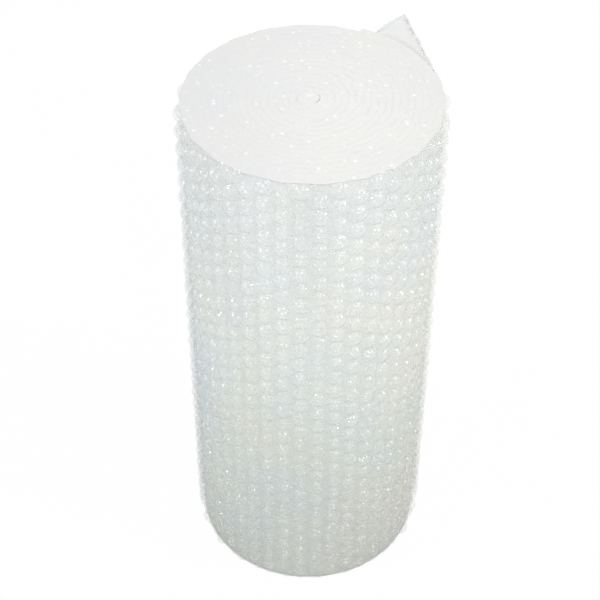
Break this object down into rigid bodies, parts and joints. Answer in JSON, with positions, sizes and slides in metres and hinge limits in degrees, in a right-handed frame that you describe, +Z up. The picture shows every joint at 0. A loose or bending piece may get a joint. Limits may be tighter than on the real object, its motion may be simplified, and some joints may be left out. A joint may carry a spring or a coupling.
{
  "type": "bubble film roll",
  "caption": "Roll of clear bubble film standing on end, wound on itself without a core, with its bubbles outwards and a loose tail corner.",
  "frame": {"origin": "middle of the winding, in the plane of the lower end that the roll stands on", "axes": "+Z up along the winding axis, +Y away from the side that the picture shows, the web wound counter-clockwise seen from above"},
  "size_m": [0.1343, 0.14, 0.3],
  "materials": {
    "bubble_film": "translucent polyethylene, glossy bubbles"
  },
  "bodies": {
    "root": {"bubble_film_roll": "bubble_film"}
  },
  "joints": []
}
